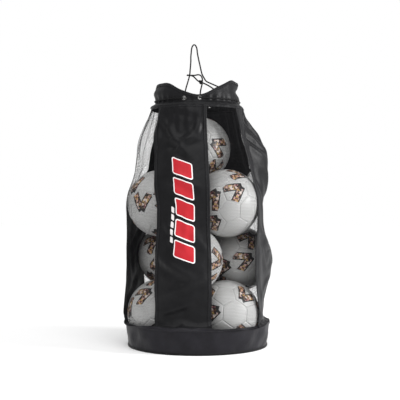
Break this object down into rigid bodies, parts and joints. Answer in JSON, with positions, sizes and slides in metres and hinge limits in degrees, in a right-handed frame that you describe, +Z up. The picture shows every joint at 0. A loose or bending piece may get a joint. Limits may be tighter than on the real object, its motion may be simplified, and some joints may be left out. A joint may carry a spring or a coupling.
{
  "type": "mesh ball bag",
  "caption": "Tall round drawcord bag of nylon panels and net windows on a banded base, standing full of footballs, with its cord drawn up in a hanging loop.",
  "frame": {"origin": "centre of the round base, on the floor", "axes": "+Z up, -Y towards the front nylon panel, +X towards the right nylon panel"},
  "size_m": [0.4796, 0.478, 0.9689],
  "materials": {
    "nylon": "woven nylon, slight sheen",
    "band_nylon": "coated woven nylon",
    "base_nylon": "coated woven nylon",
    "binding_tape": "ribbed binding tape",
    "net": "open knitted net",
    "eyelet_metal": "nickel-plated, slightly dulled",
    "cord": "braided polyester",
    "ball_cover": "white synthetic leather with a fine grain",
    "valve_rubber": "matt butyl rubber"
  },
  "bodies": {
    "bag": {"base_panel": "base_nylon", "base_band": "band_nylon", "base_binding": "binding_tape", "front_panel": "nylon", "right_panel": "nylon", "rear_panel": "nylon", "left_panel": "nylon", "front_right_net": "net", "rear_right_net": "net", "rear_left_net": "net", "front_left_net": "net", "collar": "nylon", "collar_facing": "nylon", "eyelets": "eyelet_metal", "eyelet_washers": "eyelet_metal", "cord_front_right": "cord", "cord_rear_right": "cord", "cord_rear_left": "cord", "cord_front_left": "cord", "cord_inside": "cord", "hang_loop": "cord", "tie_cord": "cord", "cord_knot": "cord"},
    "football_01": {"ball_01": "ball_cover", "valve_01": "valve_rubber"},
    "football_02": {"ball_02": "ball_cover", "valve_02": "valve_rubber"},
    "football_03": {"ball_03": "ball_cover", "valve_03": "valve_rubber"},
    "football_04": {"ball_04": "ball_cover", "valve_04": "valve_rubber"},
    "football_05": {"ball_05": "ball_cover", "valve_05": "valve_rubber"},
    "football_06": {"ball_06": "ball_cover", "valve_06": "valve_rubber"},
    "football_07": {"ball_07": "ball_cover", "valve_07": "valve_rubber"},
    "football_08": {"ball_08": "ball_cover", "valve_08": "valve_rubber"},
    "football_09": {"ball_09": "ball_cover", "valve_09": "valve_rubber"},
    "top_football": {"ball_10": "ball_cover", "valve_10": "valve_rubber"}
  },
  "joints": [
    {"name": "football_01_turn", "type": "hinge", "parent": "bag", "child": "football_01", "pos_m": [-0.1088, -0.06282, 0.1103], "axis": [0, 0, 1], "continuous": true},
    {"name": "football_02_turn", "type": "hinge", "parent": "bag", "child": "football_02", "pos_m": [0.1088, -0.06282, 0.1103], "axis": [0, 0, 1], "continuous": true},
    {"name": "football_03_turn", "type": "hinge", "parent": "bag", "child": "football_03", "pos_m": [0, 0.12563, 0.1103], "axis": [0, 0, 1], "continuous": true},
    {"name": "football_04_turn", "type": "hinge", "parent": "bag", "child": "football_04", "pos_m": [0, -0.12563, 0.28797], "axis": [0, 0, 1], "continuous": true},
    {"name": "football_05_turn", "type": "hinge", "parent": "bag", "child": "football_05", "pos_m": [0.12439, 0.07182, 0.28054], "axis": [0, 0, 1], "continuous": true},
    {"name": "football_06_turn", "type": "hinge", "parent": "bag", "child": "football_06", "pos_m": [-0.1088, 0.06282, 0.28797], "axis": [0, 0, 1], "continuous": true},
    {"name": "football_07_turn", "type": "hinge", "parent": "bag", "child": "football_07", "pos_m": [-0.1088, -0.06282, 0.46564], "axis": [0, 0, 1], "continuous": true},
    {"name": "football_08_turn", "type": "hinge", "parent": "bag", "child": "football_08", "pos_m": [0.1088, -0.06282, 0.46564], "axis": [0, 0, 1], "continuous": true},
    {"name": "football_09_turn", "type": "hinge", "parent": "bag", "child": "football_09", "pos_m": [0, 0.12563, 0.46564], "axis": [0, 0, 1], "continuous": true},
    {"name": "top_football_lift", "type": "slide", "parent": "bag", "child": "top_football", "axis": [0, 0, 1], "range_m": [0, 0.4]}
  ]
}
